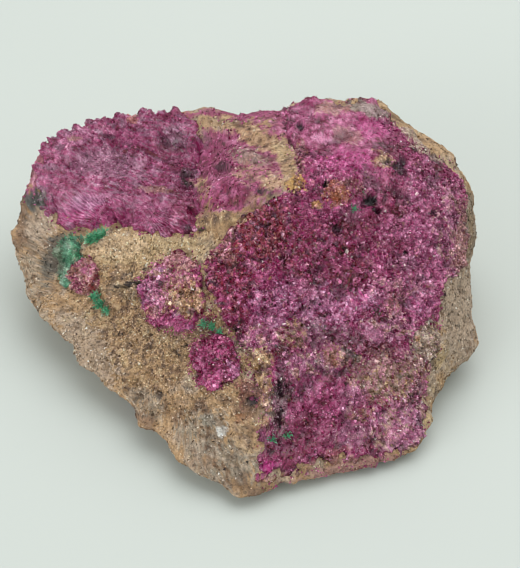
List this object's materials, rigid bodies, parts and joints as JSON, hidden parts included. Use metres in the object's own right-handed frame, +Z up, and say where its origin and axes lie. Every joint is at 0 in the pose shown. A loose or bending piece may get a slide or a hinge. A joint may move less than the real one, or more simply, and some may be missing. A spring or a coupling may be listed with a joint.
{
  "type": "cobaltoan dolomite cluster",
  "caption": "Hand-sized mineral specimen: pink crystal crusts and green malachite sprays on a lump of tan dolomite rock with a flat base.",
  "frame": {"origin": "middle of the bounding box's bottom, on the flat cut that the lump rests on", "axes": "+X to the right along the longest side, +Y to the back, away from the broad pink face, +Z up"},
  "size_m": [0.0708, 0.0617, 0.028],
  "materials": {
    "host_rock": "dull, granular tan dolomite with ochre and grey patches",
    "pink_dolomite": "sparkling magenta to pink crystal druse, vitreous",
    "malachite": "silky fibrous green, satin"
  },
  "bodies": {
    "root": {"matrix": "host_rock", "front_druse": "pink_dolomite", "hollow_crust": "pink_dolomite", "shoulder_druse": "pink_dolomite", "foot_druse": "pink_dolomite", "left_druse": "pink_dolomite", "malachite_band": "malachite", "malachite_tuft_rim": "malachite", "malachite_tuft_ledge": "malachite", "malachite_tuft_middle": "malachite", "malachite_sprig_left": "malachite", "malachite_sprig_right": "malachite", "malachite_sprig_top": "malachite"}
  },
  "joints": []
}
